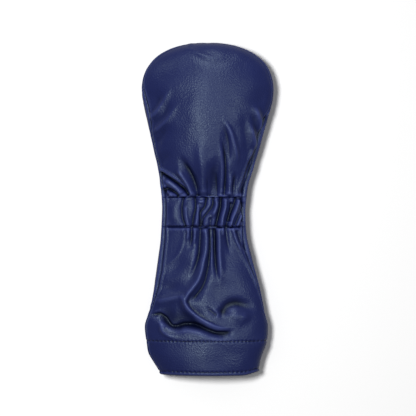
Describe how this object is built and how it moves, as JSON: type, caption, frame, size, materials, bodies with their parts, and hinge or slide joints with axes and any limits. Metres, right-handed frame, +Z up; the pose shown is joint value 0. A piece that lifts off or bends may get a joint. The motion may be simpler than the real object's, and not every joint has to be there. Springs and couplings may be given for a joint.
{
  "type": "golf driver head cover",
  "caption": "Padded leather pouch that slips over a driver's head: wide crown pocket, elastic-gathered neck and flared open skirt.",
  "frame": {"origin": "centre of the cover's footprint, on the surface that it lies on", "axes": "+Y along the cover towards the crown, -Y out of the open rim, +Z up out of its back, which is the gathered side"},
  "size_m": [0.132, 0.332, 0.045],
  "materials": {
    "leather": "satin, fine pebble grain, navy",
    "foam": "open-cell foam",
    "fleece": "short soft pile",
    "seam_tape": "woven tape",
    "elastic": "ribbed woven elastic",
    "stiffener": "matte sheet",
    "thread": "bonded thread, navy"
  },
  "bodies": {
    "head": {"head_back_panel": "leather", "head_front_panel": "leather", "neck_back_casing": "leather", "neck_front_casing": "leather", "head_back_padding": "foam", "head_front_padding": "foam", "head_back_lining": "fleece", "head_front_lining": "fleece", "neck_lining": "fleece", "head_seam_tape": "seam_tape", "elastic_band": "elastic", "neck_upper_stitching": "thread", "neck_lower_stitching": "thread"},
    "skirt": {"skirt_back_panel": "leather", "skirt_front_panel": "leather", "hem_facing": "leather", "skirt_back_lining": "fleece", "skirt_front_lining": "fleece", "skirt_seam_tape": "seam_tape", "hem_stiffener": "stiffener", "hem_upper_stitching": "thread", "hem_lower_stitching": "thread"}
  },
  "joints": [
    {"name": "neck_bend", "type": "hinge", "parent": "head", "child": "skirt", "pos_m": [-0.0035, -0.00325, 0.02], "axis": [-1, 0, 0], "range_deg": [0, 60], "stiffness_Nm_per_rad": 0.12, "deforming": ["neck_back_casing", "neck_front_casing", "neck_lining", "elastic_band", "neck_upper_stitching", "neck_lower_stitching"]}
  ]
}
